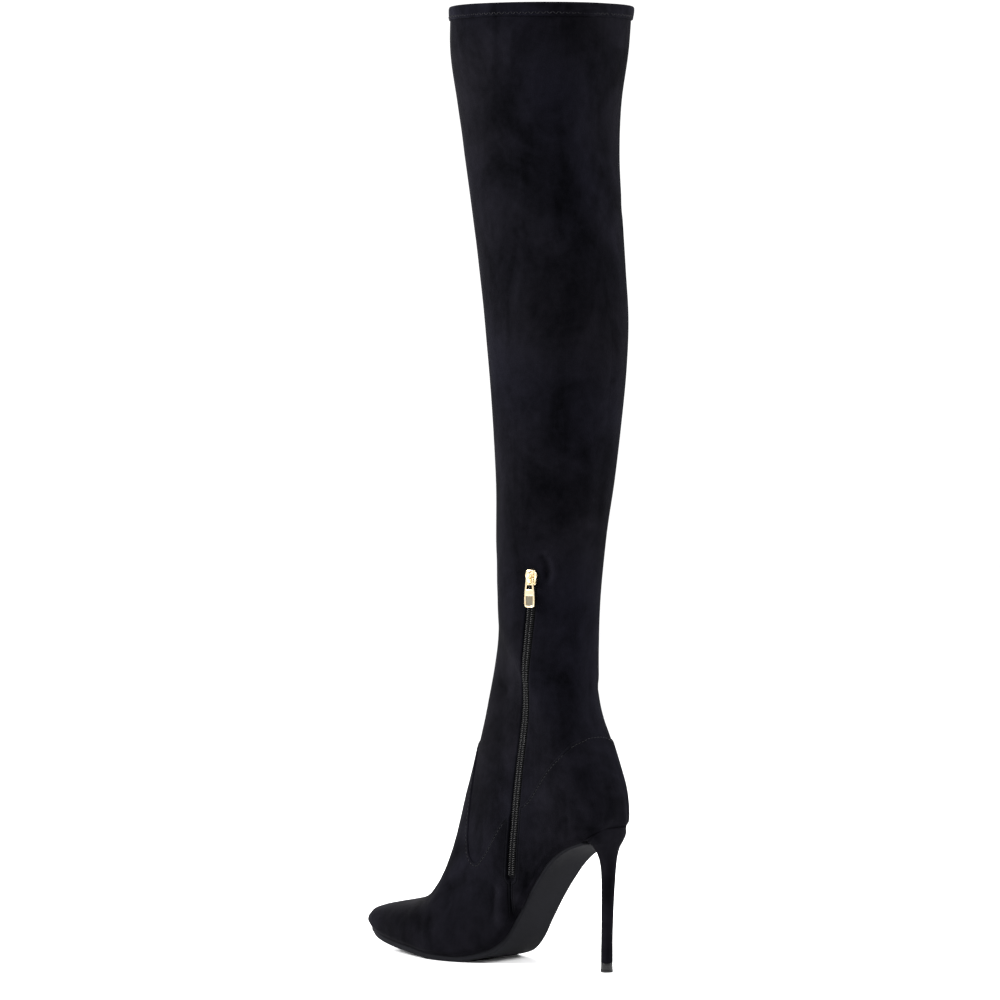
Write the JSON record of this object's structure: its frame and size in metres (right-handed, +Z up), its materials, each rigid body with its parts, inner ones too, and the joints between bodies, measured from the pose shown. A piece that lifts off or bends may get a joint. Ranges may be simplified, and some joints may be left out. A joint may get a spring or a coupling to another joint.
{
  "type": "thigh high stiletto boot",
  "caption": "Thigh high stretch boot for the right foot, pointed toe, slim stiletto heel, half length zip on the inner side with a hinged pull.",
  "frame": {"origin": "middle of the bounding box on the floor plane that the heel tip and the forefoot stand on", "axes": "+X from heel to toe, +Y to the inner side of the leg where the zip is, +Z up the shaft"},
  "size_m": [0.2156, 0.118, 0.628],
  "materials": {
    "suede": "napped faux suede",
    "suede_trim": "napped faux suede, folded hem",
    "sole_rubber": "smooth satin",
    "insole_lining": "brushed textile",
    "hard_rubber": "glossy",
    "zip_textile": "woven tape",
    "zip_nylon": "satin coil",
    "gold": "polished"
  },
  "bodies": {
    "boot": {"upper": "suede", "vamp_overlay": "suede", "counter_overlay": "suede", "collar_binding": "suede_trim", "sole": "sole_rubber", "insole": "insole_lining", "heel": "suede", "heel_tip": "hard_rubber", "zip_tape": "zip_textile", "zip_chain": "zip_nylon", "zip_slider": "gold"},
    "pull": {"zip_pull": "gold"}
  },
  "joints": [
    {"name": "pull_hinge", "type": "hinge", "parent": "boot", "child": "pull", "pos_m": [-0.05926, 0.03257, 0.25536], "axis": [0.9719, 0.2355, 0], "range_deg": [0, 160]}
  ]
}
